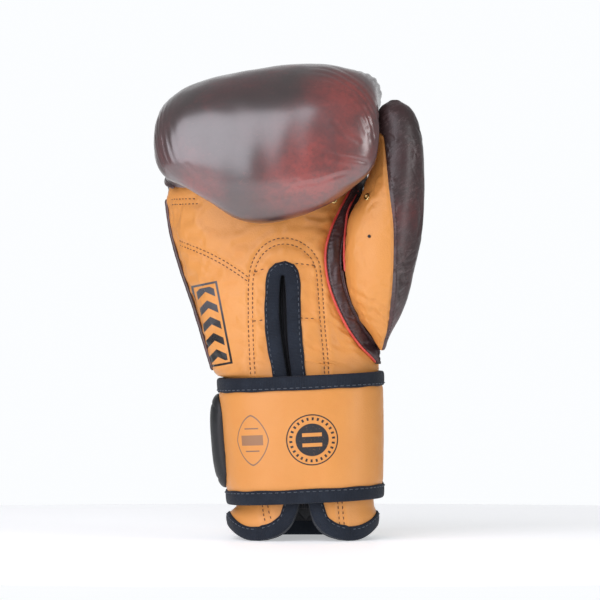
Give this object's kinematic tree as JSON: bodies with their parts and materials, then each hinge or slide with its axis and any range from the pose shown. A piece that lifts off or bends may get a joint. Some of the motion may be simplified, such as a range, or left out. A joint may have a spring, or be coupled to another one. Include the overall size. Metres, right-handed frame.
{
  "type": "boxing glove",
  "caption": "Right-hand boxing glove with a padded fist, a hinged thumb, a slit cuff, piped seams and a hook-and-loop wrist strap.",
  "frame": {"origin": "centre of the cuff's mouth, on the plane that the cuff stands on", "axes": "+Z runs from the wrist to the knuckles, the palm faces -Y, and the thumb lies on the +X side"},
  "size_m": [0.1695, 0.1365, 0.3014],
  "materials": {
    "leather_tan": "smooth tan leather with a fine grain",
    "leather_dark": "polished antiqued burgundy-brown leather",
    "tape_navy": "woven navy binding tape",
    "piping_red": "thin red piping",
    "foam": "layered padding foam",
    "lining": "dark satin lining",
    "elastic_black": "black elastic and hook-and-loop tape",
    "patch_black": "moulded black patch",
    "brass": "small brass vent eyelets"
  },
  "bodies": {
    "glove": {"palm_leather": "leather_tan", "back_leather": "leather_dark", "cuff_back_leather": "leather_tan", "side_leather": "leather_dark", "side_welt": "leather_dark", "palm_foam": "foam", "side_foam": "foam", "back_foam": "foam", "cuff_foam": "foam", "hand_lining": "lining", "slit_gusset": "elastic_black", "slit_binding": "tape_navy", "hem_binding": "tape_navy", "loop_patch": "elastic_black", "strap_root_leather": "leather_tan", "strap_root_bindings": "tape_navy", "thumb_gusset": "leather_dark", "palm_piping": "piping_red", "thumb_piping": "piping_red", "palm_eyelet": "brass"},
    "fist": {"fist_leather": "leather_dark", "knuckle_foam_outer": "foam", "knuckle_foam_inner": "foam", "finger_lining": "lining", "grip_bar": "lining"},
    "thumb": {"thumb_outer_leather": "leather_dark", "thumb_inner_leather": "leather_tan", "thumb_foam": "foam", "thumb_lining": "lining", "thumb_eyelets": "brass"},
    "strap_palm": {"strap_palm_leather": "leather_tan", "strap_palm_bindings": "tape_navy"},
    "strap_tail": {"strap_tail_leather": "leather_tan", "strap_tail_bindings": "tape_navy", "closure_patch": "patch_black", "hook_patch": "elastic_black"}
  },
  "joints": [
    {"name": "fist_flex", "type": "hinge", "parent": "glove", "child": "fist", "pos_m": [0, 0.06, 0.228], "axis": [-0.9929, 0, -0.1191], "range_deg": [0, 12], "stiffness_Nm_per_rad": 2},
    {"name": "thumb_swing", "type": "hinge", "parent": "glove", "child": "thumb", "pos_m": [0.05, -0.02, 0.12], "axis": [0, 1, 0], "range_deg": [0, 10], "stiffness_Nm_per_rad": 0.5},
    {"name": "strap_swing", "type": "hinge", "parent": "glove", "child": "strap_palm", "pos_m": [0.0434, -0.0328, 0.064], "axis": [0, 0, 1], "range_deg": [0, 40]},
    {"name": "strap_peel", "type": "hinge", "parent": "strap_palm", "child": "strap_tail", "pos_m": [-0.0398, -0.0328, 0.064], "axis": [-0.0724, 0, 0.9974], "range_deg": [0, 100]}
  ],
  "couplings": [
    {"joint": "strap_swing", "follows": "strap_peel", "ratio": 0.4}
  ]
}
